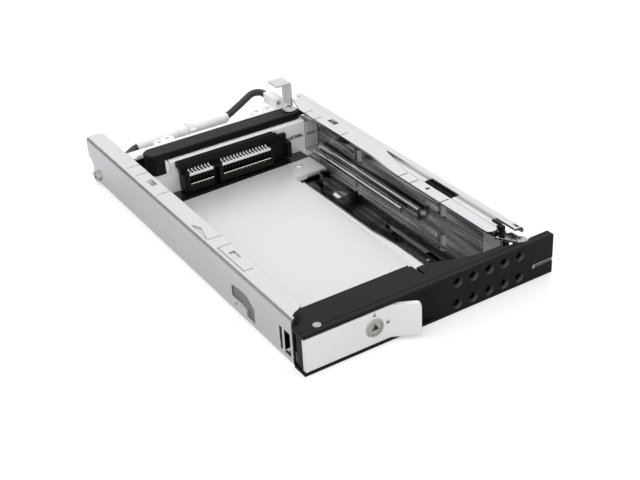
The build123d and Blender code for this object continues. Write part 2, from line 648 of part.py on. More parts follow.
save(hinge_bracket, "hinge_bracket")

with BuildPart() as hinge_pin:
    post(hinge_x, hinge_y, 0, bracket_top, pin_radius)
    with Locations((hinge_x, hinge_y, bracket_top)):
        Cone(rivet_radius, rivet_radius - 0.5, 0.5, align=(Align.CENTER, Align.CENTER, Align.MIN))
save(hinge_pin, "hinge_pin")

# Door: one moulding, hollow behind, with a deeper box at the left for the latch
latch_pin_x = left + 6.15
latch_pin_y = front + 2.6
handle_back = front + handle_plate + 0.2
recess_right = left + handle_straight + 18.0
inner_left = left + 2.2
deep_right = left + 43.4
vent_first = left + 51.5
vent_pitch = 5.69
vent_columns = 5
vent_rows = (door_bottom + 2.9, door_top - 3.0)
vent_hole = 1.0
vent_rim = 1.7
with BuildPart() as door:
    # Outline seen from above: thin at the right, deep at the left, with the S between
    with BuildSketch(Plane.XY.offset(door_bottom)):
        with BuildLine():
            o1 = Polyline((left, front), (left + door_width, front), (left + door_width, front + 3.0),
                          (left + door_width - 3.2, front + 4.5), (left + 75.0, front + 4.5),
                          (left + 64.5, front + 4.5))
            o2 = Spline(o1 @ 1, (left + 56.8, front + 6.0), (left + 50.0, front + 8.7),
                        (left + 44.0, front + 9.5), tangents=((-1, 0.1), (-1, -0.1)))
            Polyline(o2 @ 1, (left + 44.0, front + door_reveal - seam),
                     (left, front + door_reveal - seam), o1 @ 0)
        make_face()
    extrude(amount=door_height)
    # The latch box behind the left half, inside the tray
    box(inner_left, deep_right, front + 3, front + door_depth, floor + seam, door_top)
    # Only the front lip reaches down past the floor's edge behind it
    box(deep_right, left + 60, tray_front - seam, front + 12, door_bottom - 1, floor + seam,
        mode=Mode.SUBTRACT)
    # Hollow: the latch box and the rear of the front wall
    box(left + 11.0, deep_right - 1.4, front + 4.6, front + door_depth - 1.4, handle_bottom + 0.9,
        door_top - 1.7, mode=Mode.SUBTRACT)
    box(deep_right + 0.6, left + 73.4, front + door_wall, front + 12, floor + 1.2, door_top - 1.5,
        mode=Mode.SUBTRACT)
    box(left + 82.0, left + door_width - 1.2, front + door_wall, front + 6, floor + 1.2,
        door_top - 1.5, mode=Mode.SUBTRACT)
    # Recess for the handle plate, and the finger scoop beside it
    box(left - 1, left + handle_straight + 1.2, front - 1, handle_back,
        handle_bottom - seam, handle_bottom + handle_height + seam, mode=Mode.SUBTRACT)
    with BuildSketch(Plane.XY.offset(handle_bottom - seam)):
        with BuildLine():
            c1 = Line((left + handle_straight - 1.5, front - 1),
                      (left + handle_straight - 1.5, handle_back))
            c2 = Line(c1 @ 1, (left + handle_straight + 4.0, handle_back + 0.2))
            c3 = Spline(c2 @ 1, (left + handle_straight + 11.5, front + 1.2), (recess_right, front),
                        tangents=((1, 0), (1, -0.02)))
            c4 = Line(c3 @ 1, (recess_right, front - 1))
            Line(c4 @ 1, c1 @ 0)
        make_face()
    extrude(amount=handle_height + 2 * seam, mode=Mode.SUBTRACT)
    # Opening that the latch lever swings in, at the left end
    box(left - 1, left + 12.4, handle_back - 0.3, front + door_depth + 1, handle_bottom - seam,
        handle_bottom + handle_height + seam, mode=Mode.SUBTRACT)
    # Bore for the lever's pin, from the top
    post(latch_pin_x, latch_pin_y, door_bottom - 1, door_top + 1, pin_radius, mode=Mode.SUBTRACT)
    # Room behind the handle for the lock's cam
    box(left + 16.0, left + 30.0, handle_back - 0.3, front + 8.4, handle_bottom + 0.9,
        handle_bottom + handle_height - 0.9, mode=Mode.SUBTRACT)
    # Hinge knuckle, and the clearances for the two ears
    post(hinge_x, hinge_y, floor + seam, bracket_top - ear_thick - seam, knuckle_radius)
    box(hinge_x - 5.2, left + door_width + 1, hinge_y - ear_radius - 0.7, front + 9,
        door_bottom - 1, floor + seam, mode=Mode.SUBTRACT)
    with BuildSketch(Plane.XY.offset(bracket_top - ear_thick - seam)):
        with Locations((hinge_x, hinge_y)):
            Circle(ear_radius + 0.45)
        with BuildLine():
            Polyline((hinge_x - 8.0, front + 9), (hinge_x - 8.0, hinge_y - 0.4),
                     (hinge_x - 1.6, hinge_y - 1.9), (hinge_x, hinge_y - 1.35),
                     (left + door_width + 1, hinge_y - 1.35), (left + door_width + 1, front + 9),
                     close=True)
        make_face()
    extrude(amount=4, mode=Mode.SUBTRACT)
    post(hinge_x, hinge_y, -1, door_top + 1, pin_radius + running, mode=Mode.SUBTRACT)
    # Countersunk vent holes, two rows of five
    for z in vent_rows:
        for n in range(vent_columns):
            x = vent_first + n * vent_pitch
            with Locations(Location((x, front + 2, z), (90, 0, 0))):
                Cylinder(vent_hole, 6, mode=Mode.SUBTRACT)
            with Locations(Location((x, front + 0.45, z), (90, 0, 0))):
                Cone(vent_hole, vent_rim, 0.92, mode=Mode.SUBTRACT)
    # Slot of the light pipe, open at the right end
    box(left + door_width - 7.8, left + door_width + 1, front - 1, front + 1.3, 4.2, 5.4,
        mode=Mode.SUBTRACT)
    # Fine step along the top face
    box(left - 1, left + door_width + 1, front + 1.7, front + 1.95, door_top - 0.2, door_top + 1,
        mode=Mode.SUBTRACT)
    # Small notch at the end of the latch box
    box(deep_right - 0.8, deep_right + 0.6, front + 9.0, front + 12, door_top - 2.0, door_top + 1,
        mode=Mode.SUBTRACT)
save(door, "door")

with BuildPart() as light_pipe:
    box(left + door_width - 7.6, left + door_width, front + 0.1, front + 1.3, 4.3, 5.3)
    box(left + door_width - 7.8, left + door_width - 7.3, front - 0.1, front + 1.3, 4.2, 5.4)
save(light_pipe, "light_pipe")

with BuildPart() as handle_pin:
    post(latch_pin_x, latch_pin_y, door_bottom, door_top, pin_radius)
save(handle_pin, "handle_pin")

# Handle: a bright plate bent outwards at its free end, fixed on the latch lever
handle_top = handle_bottom + handle_height
lock_z = handle_bottom + handle_height / 2
tip_x = left + handle_straight
with BuildPart() as handle:
    with BuildSketch(Plane.XY.offset(handle_bottom)) as lever_outline:
        with BuildLine():
            h1 = Line((left + 0.4, front + handle_plate), (left + 0.4, front))
            h2 = Line(h1 @ 1, (tip_x, front))
            h3 = PolarLine(h2 @ 1, handle_tip_run, -handle_tip_angle)
            h4 = PolarLine(h3 @ 1, handle_plate, 90 - handle_tip_angle)
            h5 = Line(h4 @ 1, (tip_x + 0.4, front + handle_plate))
            Line(h5 @ 1, h1 @ 0)
        make_face()
        fillet(lever_outline.vertices().filter_by(lambda p: abs(p.X - tip_x) < 0.5), 3.0)
    extrude(amount=handle_height)
    tip_edges = handle.edges().filter_by(lambda e: e.center().X > tip_x + handle_tip_run * 0.7
                                         and e.length < handle_plate + 0.2)
    fillet(tip_edges, 1.4)
    # Bore for the lock
    with Locations(Location((left + lock_x, front + 1, lock_z), (90, 0, 0))):
        Cylinder(lock_radius, 6, mode=Mode.SUBTRACT)
save(handle, "handle")

# Latch lever: the black body behind the handle plate, with the hook for the left wall
lever_bottom = handle_bottom
hook_bottom = handle_bottom + 1.4
hook_tip_x = left + steel + 0.75
lever_rear = front + 4.9
with BuildPart() as latch_lever:
    with BuildSketch(Plane.XY.offset(lever_bottom)):
        with BuildLine():
            Polyline((left + 0.3, front + handle_plate), (left + 11.0, front + handle_plate),
                     (left + 11.0, front + handle_plate + 0.6), (latch_pin_x + 2.6, lever_rear),
                     (left + 0.3, lever_rear), close=True)
        make_face()
    extrude(amount=handle_height)
    fillet(latch_lever.edges().filter_by(Axis.Z).filter_by(
        lambda e: e.center().X < left + 0.5 and e.center().Y > lever_rear - 0.1), 1.2)
    with BuildSketch(Plane.XY.offset(hook_bottom)):
        with BuildLine():
            k1 = Polyline((latch_pin_x + 2.2, lever_rear - 0.6), (latch_pin_x + 0.8, front + 10.4),
                          (hook_tip_x + 0.6, front + 11.4), (hook_tip_x, front + 8.6),
                          (hook_tip_x + 1.3, front + 7.8), (latch_pin_x - 2.4, lever_rear - 0.6))
            Line(k1 @ 1, k1 @ 0)
        make_face()
    extrude(amount=handle_height - 2.8)
    post(latch_pin_x, latch_pin_y, handle_bottom - 1, handle_top + 1, pin_radius + running,
         mode=Mode.SUBTRACT)
save(latch_lever, "latch_lever")

# Lock: a barrel pressed into the handle, and a plug that the key turns
with BuildPart() as lock_barrel:
    with Locations(Location((left + lock_x, front + 1.9, lock_z), (90, 0, 0))):
        Cylinder(lock_radius, 4.4)
        Cylinder(lock_plug_radius + running, 6, mode=Mode.SUBTRACT)
    fillet(lock_barrel.faces().sort_by(Axis.Y)[0].outer_wire().edges(), 0.25)
save(lock_barrel, "lock_barrel")
with BuildPart() as lock_plug:
    with Locations(Location((left + lock_x, front + 2.1, lock_z), (90, 0, 0))):
        Cylinder(lock_plug_radius, 4.4)
    # Triangular keyway, sunk from the plug's front face
    with BuildSketch(Plane.XZ.offset(-(front - 1))):
        with Locations((left + lock_x, lock_z)):
            RegularPolygon(keyway_radius, 3, rotation=-30)
    extrude(amount=-(1 + keyway_depth), mode=Mode.SUBTRACT)
save(lock_plug, "lock_plug")
with BuildPart() as lock_cam:
    box(left + lock_x - 1.6, left + lock_x + 1.6, front + 4.3, front + 5.3, lock_z - 4.0, lock_z + 1.6)
    fillet(lock_cam.edges().filter_by(Axis.Y), 1.2)
save(lock_cam, "lock_cam")

# Screw at the left wall's rear
with BuildPart() as side_screw:
    with Locations(Location((left - 0.55, screw_y, screw_z), (0, 90, 0))):
        Cylinder(1.9, 1.1)
    with Locations(Location((left + 1.3, screw_y, screw_z), (0, 90, 0))):
        Cylinder(1.2, 2.6)
    fillet(side_screw.faces().sort_by(Axis.X)[0].outer_wire().edges(), 0.6)
    with Locations((left - 1.0, screw_y, screw_z)):
        Box(0.8, 1.9, 0.45, mode=Mode.SUBTRACT)
        Box(0.8, 0.45, 1.9, mode=Mode.SUBTRACT)
save(side_screw, "side_screw")

# Lead: a sleeved cable held along the rear, from a socket under the ledge to its plug
lead_radius = 1.3
sleeve_radius = 2.1
socket_x = left + 9.4
socket_rear = front + 128.6
socket_z = ledge_top - steel - 2.2
plug_x = rail_x - 1.8
plug_front = front + 128.6
plug_rear = front + 137.2
plug_z = ledge_top + 1.8
lead_points = ((socket_x, socket_rear, socket_z), (socket_x, front + 133.4, socket_z),
               (left + 14.6, front + 137.4, socket_z), (left + 52.0, front + 138.2, socket_z + 0.8),
               (left + 60.5, front + 141.6, socket_z + 2.8), (left + 67.0, front + 144.3, plug_z - 0.4),
               (plug_x, front + 141.4, plug_z), (plug_x, plug_rear, plug_z))
lead_bends = (3.6, 5.2, 16.0, 9.0, 3.0, 3.6)
with BuildPart() as power_lead:
    with BuildLine() as route:
        FilletPolyline(*lead_points, radius=list(lead_bends))
    with BuildSketch(Plane(origin=route.wire() @ 0, z_dir=route.wire() % 0)):
        Circle(lead_radius)
    sweep()
print("lead length", round(route.wire().length, 1), "volume", round(power_lead.part.volume, 1),
      "expected", round(3.14159 * lead_radius ** 2 * route.wire().length, 1), "radii", lead_bends)
save(power_lead, "power_lead")

# White sleeve over the lead's straight run, with a tie round it
run_start = Vector(*lead_points[2])
run = Vector(*lead_points[3]) - run_start
run_way = run.normalized()
sleeve_plane = Plane(origin=run_start + run_way * 3.4, z_dir=run_way)
sleeve_length = run.length - 6.6
with BuildPart() as lead_sleeve:
    with BuildSketch(sleeve_plane):
        Circle(sleeve_radius)
        Circle(lead_radius, mode=Mode.SUBTRACT)
    extrude(amount=sleeve_length)
save(lead_sleeve, "lead_sleeve")

tie_plane = Plane(origin=run_start + run_way * 21.0, z_dir=run_way)
with BuildPart() as cable_tie:
    with BuildSketch(tie_plane):
        Circle(sleeve_radius + 0.6)
        with Locations((0, sleeve_radius + 0.9)):
            Rectangle(2.6, 1.8)
        Circle(sleeve_radius, mode=Mode.SUBTRACT)
    extrude(amount=2.2)
save(cable_tie, "cable_tie")

with BuildPart() as lead_socket:
    box(socket_x - 3.0, socket_x + 3.0, front + 124.6, socket_rear, socket_z - 2.2, socket_z + 2.2)
    fillet(lead_socket.edges().filter_by(Axis.Y), 0.5)
save(lead_socket, "lead_socket")

with BuildPart() as lead_plug:
    box(plug_x - 1.8, plug_x + 1.8, plug_front, plug_rear, ledge_top, ledge_top + 3.6)
    fillet(lead_plug.edges().filter_by(Axis.Z), 0.6)
    box(plug_x - 0.8, plug_x + 0.8, plug_front - 1, plug_front + 2.4, ledge_top + 0.9,
        ledge_top + 2.7, mode=Mode.SUBTRACT)
save(lead_plug, "lead_plug")
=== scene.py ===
"""Looks of a slim mobile rack for one 2.5 inch drive: finishes, small pressed and moulded detail,
studio light and the photograph's camera. Metres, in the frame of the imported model.

Small pieces are placed by (u, v, z) in mm: u from the outer face of the tray's left wall, v from the
front of the door, z from the table."""

import json
import math

import bpy
import numpy as np
from mathutils import Matrix, Vector


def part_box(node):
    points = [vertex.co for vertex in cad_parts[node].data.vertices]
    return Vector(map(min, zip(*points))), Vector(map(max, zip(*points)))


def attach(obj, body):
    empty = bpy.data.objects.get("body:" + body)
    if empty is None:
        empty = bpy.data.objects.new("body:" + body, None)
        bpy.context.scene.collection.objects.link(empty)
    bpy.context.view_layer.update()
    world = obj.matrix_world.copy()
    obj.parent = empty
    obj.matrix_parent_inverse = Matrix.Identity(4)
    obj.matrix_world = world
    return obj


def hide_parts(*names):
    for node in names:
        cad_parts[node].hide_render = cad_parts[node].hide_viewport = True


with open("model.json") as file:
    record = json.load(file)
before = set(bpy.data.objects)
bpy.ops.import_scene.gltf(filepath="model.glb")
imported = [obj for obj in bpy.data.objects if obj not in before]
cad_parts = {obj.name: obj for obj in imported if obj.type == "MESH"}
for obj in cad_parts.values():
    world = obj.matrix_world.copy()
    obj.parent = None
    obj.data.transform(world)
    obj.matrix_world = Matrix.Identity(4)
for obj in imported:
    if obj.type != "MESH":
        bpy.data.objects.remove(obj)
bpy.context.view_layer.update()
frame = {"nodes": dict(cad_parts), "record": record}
nodes = frame["nodes"]
mm = 0.001


# Colours and the node helper

def linear(hex_colour):
    """An sRGB hex colour as linear RGBA."""
    parts = [int(hex_colour[i:i + 2], 16) / 255 for i in (1, 3, 5)]
    return tuple(p / 12.92 if p <= 0.04045 else ((p + 0.055) / 1.055) ** 2.4 for p in parts) + (1.0,)


def add(tree, kind, settings=None, **inputs):
    """Adds one node. settings are its attributes; inputs are values or other nodes' sockets."""
    made = tree.nodes.new("ShaderNode" + kind)
    for key, value in (settings or {}).items():
        setattr(made, key, value)
    for key, value in inputs.items():
        socket = made.inputs[int(key[1:]) if key[0] == "i" and key[1:].isdigit() else key.replace("_", " ")]
        if isinstance(value, bpy.types.NodeSocket):
            tree.links.new(value, socket)
        else:
            socket.default_value = value
    return made


def material(name, colour, metallic, roughness, **others):
    """A material with a Principled shader; others are more of the shader's values, by their names
    with underscores. Returns it with its tree and shader."""
    made = bpy.data.materials.new(name)
    made.use_nodes = True
    tree = made.node_tree
    shader = tree.nodes["Principled BSDF"]
    shader.inputs["Base Color"].default_value = linear(colour)
    shader.inputs["Metallic"].default_value = metallic
    shader.inputs["Roughness"].default_value = roughness
    for key, value in others.items():
        shader.inputs[key.replace("_", " ")].default_value = value
    return made, tree, shader


# How a grain is drawn out along X, Y and Z: not at all, or in long lines from front to rear; and the
# grain size of the broad noise that every finish has beside its own
EVEN = (1.0, 1.0, 1.0)
ROLLED = (1.0, 0.03, 1.0)
BROAD_MM = 24


def patterned(name, metallic, tones, roughness, grain_mm, edge_mm, stretch=EVEN, bump=(0.0, 0.01),
              **others):
    """A finish whose colour and roughness vary between two tones and two values with a noise of one
    real grain size and a broad one; bump is (strength, depth in mm) of the same grain, and edges
    catch light as if rounded by edge_mm."""
    made, tree, shader = material(name, tones[0], metallic, roughness[0], **others)
    where = add(tree, "TexCoord").outputs["Object"]
    turned = add(tree, "Mapping", Vector=where, Scale=stretch).outputs["Vector"]
    grain = add(tree, "TexNoise", Vector=turned, Scale=1 / (grain_mm * mm), Detail=3.0, Roughness=0.6)
    broad = add(tree, "TexNoise", Vector=where, Scale=1 / (BROAD_MM * mm), Detail=2.0)
    mixed = add(tree, "Math", {"operation": "ADD"}, i0=grain.outputs["Fac"], i1=broad.outputs["Fac"])
    half = add(tree, "Math", {"operation": "MULTIPLY"}, i0=mixed.outputs[0], i1=0.5)
    ramp = add(tree, "ValToRGB", Fac=half.outputs[0])
    for element, position, tone in zip(ramp.color_ramp.elements, (0.35, 0.65), tones):
        element.position = position
        element.color = linear(tone)
    tree.links.new(ramp.outputs["Color"], shader.inputs["Base Color"])
    rough = add(tree, "MapRange", Value=half.outputs[0], From_Min=0.3, From_Max=0.7,
                To_Min=roughness[0], To_Max=roughness[1])
    tree.links.new(rough.outputs["Result"], shader.inputs["Roughness"])
    rounded = add(tree, "Bevel", {"samples": 4}, Radius=edge_mm * mm)
    raised = add(tree, "Bump", Strength=bump[0], Distance=bump[1] * mm, Height=grain.outputs["Fac"],
                 Normal=rounded.outputs["Normal"])
    tree.links.new(raised.outputs["Normal"], shader.inputs["Normal"])
    return made


# Finishes

def polished_floor(made, top_mm, polished, brushed, fade, lean):
    """The tray's floor, up to top_mm above its underside, is a mirror along the right side and a
    brushed sheet elsewhere. polished and brushed are (metallic, roughness); fade gives the two
    pairs of object X + lean * Y and Y, in metres, between which one turns into the other."""
    tree = made.node_tree
    shader = tree.nodes["Principled BSDF"]
    rough = shader.inputs["Roughness"].links[0].from_socket
    where = add(tree, "TexCoord").outputs["Object"]
    split = add(tree, "SeparateXYZ", Vector=where)
    normal = add(tree, "NewGeometry").outputs["Normal"]
    upward = add(tree, "SeparateXYZ", Vector=normal).outputs["Z"]
    low = add(tree, "Math", {"operation": "LESS_THAN"}, i0=split.outputs["Z"], i1=top_mm * mm)
    faces_up = add(tree, "Math", {"operation": "GREATER_THAN"}, i0=upward, i1=0.5)
    mask = add(tree, "Math", {"operation": "MULTIPLY"}, i0=low.outputs[0], i1=faces_up.outputs[0])
    leaning = add(tree, "Math", {"operation": "MULTIPLY_ADD"}, i0=split.outputs["Y"], i1=lean,
                  i2=split.outputs["X"])
    across = add(tree, "MapRange", {"interpolation_type": "SMOOTHSTEP"}, Value=leaning.outputs[0],
                 From_Min=fade[0][0], From_Max=fade[0][1])
    along = add(tree, "MapRange", {"interpolation_type": "SMOOTHSTEP"}, Value=split.outputs["Y"],
                From_Min=fade[1][1], From_Max=fade[1][0])
    mirror = add(tree, "Math", {"operation": "MULTIPLY"}, i0=across.outputs[0], i1=along.outputs[0])
    for socket, base, index in (("Roughness", rough, 1), ("Metallic", 1.0, 0)):
        floor = add(tree, "MapRange", Value=mirror.outputs[0], To_Min=brushed[index], To_Max=polished[index])
        mixed = add(tree, "Mix", {"data_type": "FLOAT"}, i0=mask.outputs[0], i2=base, i3=floor.outputs[0])
        tree.links.new(mixed.outputs[0], shader.inputs[socket])


def painted_rail_reflection(made, streaks, painted_underside_shade, across_mm, along_mm):
    """Painted reflection: upright faces of the rail get long dark and light streaks painted into their
    colour, across_mm wide and along_mm long, as if they mirrored a dark studio; faces that point down get
    painted shade, one darker tone. streaks are the streaks' three tones, and the next argument is the tone
    of the painted shade."""
    tree = made.node_tree
    shader = tree.nodes["Principled BSDF"]
    top = shader.inputs["Base Color"].links[0].from_socket
    where = add(tree, "TexCoord").outputs["Object"]
    # Painted reflection: long dark and light streaks painted into the colour of the upright faces
    drawn = add(tree, "Mapping", Vector=where, Scale=(1 / (across_mm * mm), 1 / (along_mm * mm),
                                                      1 / (across_mm * mm))).outputs["Vector"]
    noise = add(tree, "TexNoise", Vector=drawn, Scale=1.0, Detail=2.0, Roughness=0.45, Distortion=0.35)
    ramp = add(tree, "ValToRGB", Fac=noise.outputs["Fac"])
    ramp.color_ramp.elements[0].position = 0.36
    ramp.color_ramp.elements[0].color = linear(streaks[0])
    ramp.color_ramp.elements[1].position = 0.68
    ramp.color_ramp.elements[1].color = linear(streaks[2])
    middle = ramp.color_ramp.elements.new(0.5)
    middle.color = linear(streaks[1])
    normal = add(tree, "NewGeometry").outputs["Normal"]
    lift = add(tree, "SeparateXYZ", Vector=normal).outputs["Z"]
    faces_up = add(tree, "Math", {"operation": "GREATER_THAN"}, i0=lift, i1=0.5)
    faces_down = add(tree, "Math", {"operation": "LESS_THAN"}, i0=lift, i1=-0.5)
    sides = add(tree, "Mix", {"data_type": "RGBA"}, i0=faces_up.outputs[0], i6=ramp.outputs["Color"], i7=top)
    # Painted shade: faces that point down take one darker grey tone
    below = add(tree, "Mix", {"data_type": "RGBA"}, i0=faces_down.outputs[0], i6=sides.outputs[2])
    below.inputs[7].default_value = linear(painted_underside_shade)
    tree.links.new(below.outputs[2], shader.inputs["Base Color"])


# Galvanised steel of the tray, cold-rolled: a light, cool grey with a soft, short gloss, and its
# floor polished like a mirror beside the rail. The zinc's grain is finer than 0.1 mm, and is drawn
# at 0.6 mm so that it shows.
tray_sheet = patterned("galvanised_tray_sheet", 1.0, ("#E0E1E2", "#E4E5E6"), (0.25, 0.27),
                       grain_mm=0.6, edge_mm=0.25, stretch=(1.0, 0.3, 1.0))
polished_floor(tray_sheet, top_mm=1.2, polished=(1.0, 0.045), brushed=(0.35, 0.3),
               fade=((0.0154, 0.0164), (0.0205, 0.0235)), lean=-0.018)

# Zinc plating of the small flat brackets, tumbled: satin and a little milky
satin_zinc = patterned("satin_zinc", 0.35, ("#D2D3D4", "#DADBDC"), (0.34, 0.44),
                       grain_mm=0.5, edge_mm=0.2, stretch=(1.0, 1.0, 0.4), bump=(0.04, 0.01))

# Bright-rolled stainless sheet: nearly a mirror, with faint long lines from the rolls
stainless = patterned("bright_rolled_stainless", 1.0, ("#D0D1D2", "#DCDDDE"), (0.07, 0.11),
                      grain_mm=0.7, edge_mm=0.2, stretch=ROLLED)

# The guide rail, of the same sheet, polished, with a painted reflection: long dark streaks painted on its
# wall stand in for a mirrored dark studio, and its faces below carry painted shade
rail_sheet = patterned("polished_rail_sheet_painted_reflection", 1.0, ("#E0E1E2", "#E8E9EA"), (0.1, 0.16),
                       grain_mm=0.7, edge_mm=0.2, stretch=ROLLED)
painted_rail_reflection(rail_sheet, streaks=("#5A5A5B", "#858586", "#DCDCDD"), painted_underside_shade="#8E8F91",
            across_mm=1.8, along_mm=48.0)

# Hardened spring steel, rolled: darker than the rail, with a sharp highlight
spring_leaf = patterned("spring_steel", 1.0, ("#7C7E80", "#929496"), (0.2, 0.3),
                        grain_mm=0.3, edge_mm=0.15, stretch=(1.0, 0.2, 1.0))

# Nickel plate of the fasteners and the lock: a warm, bright shine with a fine grain
nickel = patterned("nickel_plate", 1.0, ("#B4B2AE", "#CAC9C5"), (0.12, 0.2),
                   grain_mm=0.25, edge_mm=0.15, bump=(0.05, 0.01))

# Aluminium of the handle, bead-blasted and clear anodised: a light, even silver that mirrors
# nothing clearly. The blast is drawn at 0.22 mm, about twice its size, so that it shows.
anodised = patterned("anodised_aluminium", 0.3, ("#F2F3F4", "#F8F8F8"), (0.32, 0.4),
                     grain_mm=0.22, edge_mm=0.3, bump=(0.1, 0.01))

# Gold flash over nickel on the contacts: pale yellow and smooth
gold_flash = patterned("gold_flash", 1.0, ("#D2BC80", "#E2D09A"), (0.16, 0.24),
                       grain_mm=0.2, edge_mm=0.05, bump=(0.03, 0.01))

# Tinned bronze of the terminals, dipped: bright and pale, with a soft shine
terminal_tin = patterned("tinned_bronze", 0.1, ("#ECECEA", "#F6F6F4"), (0.26, 0.34),
                         grain_mm=0.2, edge_mm=0.05, bump=(0.03, 0.01))

# Pad-printed grey ink: flat and matt
grey_ink = patterned("grey_ink", 0.0, ("#707173", "#7E7F81"), (0.45, 0.55),
                     grain_mm=0.2, edge_mm=0.02, bump=(0.02, 0.01))

# Open-cell foam, cut: it swallows nearly all light. The same finish makes the painted shade behind the
# rail's windows
foam = patterned("black_foam", 0.0, ("#040405", "#0A0A0B"), (0.85, 0.95),
                 grain_mm=0.4, edge_mm=0.1, bump=(0.6, 0.1))

# Moulded ABS of the door and arm: a satin, deep black. Its spark texture, about 0.05 mm, is drawn
# at 0.18 mm so that it shows.
black_abs = patterned("moulded_abs", 0.0, ("#070708", "#0C0C0D"), (0.38, 0.46),
                      grain_mm=0.18, edge_mm=0.35, bump=(0.1, 0.02), IOR=1.54, Specular_IOR_Level=0.17)

# The same ABS at the rims of the vents: shinier, and greyer as a painted highlight on the countersinks
glossy_abs_painted_highlight = patterned("abs_painted_highlight", 0.0, ("#2E2F31", "#3A3B3D"), (0.24, 0.32),
                       grain_mm=0.3, edge_mm=0.05, IOR=1.54)

# Glass-filled nylon of the connectors, moulded: black and more matt than the ABS
filled_nylon = patterned("glass_filled_nylon", 0.0, ("#08080A", "#0E0E10"), (0.42, 0.55),
                         grain_mm=0.3, edge_mm=0.15, bump=(0.12, 0.02), IOR=1.53,
                         Specular_IOR_Level=0.2)

# White powder coat of the backplate and ledge, baked: smooth, with a faint pebble
white_coat = patterned("white_powder_coat", 0.0, ("#F2F2F0", "#F7F7F5"), (0.34, 0.44),
                       grain_mm=0.6, edge_mm=0.3, bump=(0.12, 0.02), IOR=1.5)

# Natural nylon of the plug, header and tie, moulded: off-white with a soft sheen
natural_nylon = patterned("natural_nylon", 0.0, ("#EFEEEA", "#F6F5F2"), (0.36, 0.46),
                          grain_mm=0.5, edge_mm=0.25, bump=(0.06, 0.01), IOR=1.53)

# Sleeve shrunk over the lead with heat: white and wrinkled
shrink_sleeve = patterned("white_shrink_sleeve", 0.0, ("#F5F5F3", "#FBFBFA"), (0.38, 0.5),
                          grain_mm=1.8, edge_mm=0.2, stretch=(0.5, 1.0, 1.0), bump=(0.3, 0.1), IOR=1.5)

# Extruded PVC jacket of the lead: dark grey with a soft sheen
cable_jacket = patterned("pvc_jacket", 0.0, ("#27282A", "#313234"), (0.4, 0.5),
                         grain_mm=0.8, edge_mm=0.2, bump=(0.08, 0.02), IOR=1.52)

# Solder mask, cured on a glass-epoxy board: an even dark green, a little glossy
solder_mask = patterned("solder_mask", 0.0, ("#1A4428", "#225232"), (0.24, 0.34),
                        grain_mm=0.7, edge_mm=0.1, bump=(0.1, 0.02), IOR=1.5)

# Black polyester film, drawn: flat, with a sharp gloss
polyester_film = patterned("polyester_film", 0.0, ("#121213", "#18181A"), (0.14, 0.22),
                           grain_mm=3.0, edge_mm=0.05, bump=(0.05, 0.03), IOR=1.6)

# Clear polycarbonate of the light pipe, moulded: glassy and half clear
clear_pipe = patterned("clear_polycarbonate", 0.0, ("#E2E4E4", "#ECEEEE"), (0.08, 0.14),
                       grain_mm=1.0, edge_mm=0.1, bump=(0.02, 0.01), IOR=1.58, Transmission_Weight=0.5)

finishes = {
    tray_sheet: ("housing_tray",),
    satin_zinc: ("hook_bracket",),
    rail_sheet: ("guide_rail",),
    stainless: ("push_rod", "hinge_bracket"),
    spring_leaf: ("spring_tab_1", "spring_tab_2", "catch_plate"),
    nickel: ("pivot_screw", "hinge_pin", "side_screw", "handle_pin", "lock_barrel", "lock_plug",
             "lock_cam", "rod_pin"),
    anodised: ("handle",),
    gold_flash: ("signal_contacts", "power_contacts"),
    black_abs: ("door", "latch_lever", "rod_foot", "rod_guide", "ejector_arm"),
    filled_nylon: ("receptacle", "data_connector", "lead_socket", "board_parts"),
    white_coat: ("backplate",),
    natural_nylon: ("power_header", "cable_tie", "lead_plug"),
    shrink_sleeve: ("lead_sleeve",),
    cable_jacket: ("power_lead",),
    solder_mask: ("circuit_board",),
    polyester_film: ("insulating_film",),
    clear_pipe: ("light_pipe",),
}
for finish, names in finishes.items():
    for name in names:
        nodes[name].data.materials.clear()
        nodes[name].data.materials.append(finish)


# Small pieces that the frame leaves to the looks

CORNERS = np.array([(0, 0, 0), (1, 0, 0), (1, 1, 0), (0, 1, 0), (0, 0, 1), (1, 0, 1), (1, 1, 1), (0, 1, 1)])
SIDES = np.array([(0, 3, 2, 1), (4, 5, 6, 7), (0, 1, 5, 4), (1, 2, 6, 5), (2, 3, 7, 6), (3, 0, 4, 7)])
origin = np.array([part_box("housing_tray")[0].x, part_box("door")[0].y, 0.0])


def place(points):
    """Points (u, v, z) in mm, one or an array of them, as metres in the frame: origin + mm * point."""
    return origin + np.asarray(points) * mm


def span(node):
    """The lowest and the highest (u, v, z) of a CAD node, in mm."""
    return [(np.array(end) - origin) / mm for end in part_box(node)]


def turned(profile, sides, first=0.0):
    """A profile of points (r, h) turned about an axis: (r cos t, r sin t, h) with
    t = first + 2 pi n / sides, ring by ring."""
    turn = first + 2 * np.pi * np.arange(sides) / sides
    radius, height = np.array(profile).T[..., None]
    return np.stack((radius * np.cos(turn), radius * np.sin(turn), height + 0 * turn), -1).reshape(-1, 3)


def shell(rings, sides, closed=False):
    """The faces of points that lie ring by ring: face (r, n) joins points n and n + 1 of ring r to
    those of ring r + 1. closed joins the last ring to the first."""
    grid = np.arange(rings * sides).reshape(rings, sides)
    if closed:
        grid = np.vstack((grid, grid[:1]))
    after = np.roll(grid, -1, axis=1)
    return np.stack((grid[:-1], after[:-1], after[1:], grid[1:]), -1).reshape(-1, 4)


def copied(faces, points_each, copies):
    """The faces of several copies of a shape whose points follow each other: face + copy * points_each."""
    return (faces + points_each * np.arange(copies)[:, None, None]).reshape(-1, 4)


def piece(name, points, faces, finish, slot, body, smooth=False):
    """A mesh piece with its finish, riding on a body of the frame."""
    mesh = bpy.data.meshes.new(name)
    mesh.from_pydata(points.tolist(), [], [tuple(face) for face in faces])
    mesh.materials.append(finish)
    mesh.update()
    if smooth:
        mesh.shade_smooth()
    made = bpy.data.objects.new(name, mesh)
    bpy.context.scene.collection.objects.link(made)
    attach(made, body)
    return made


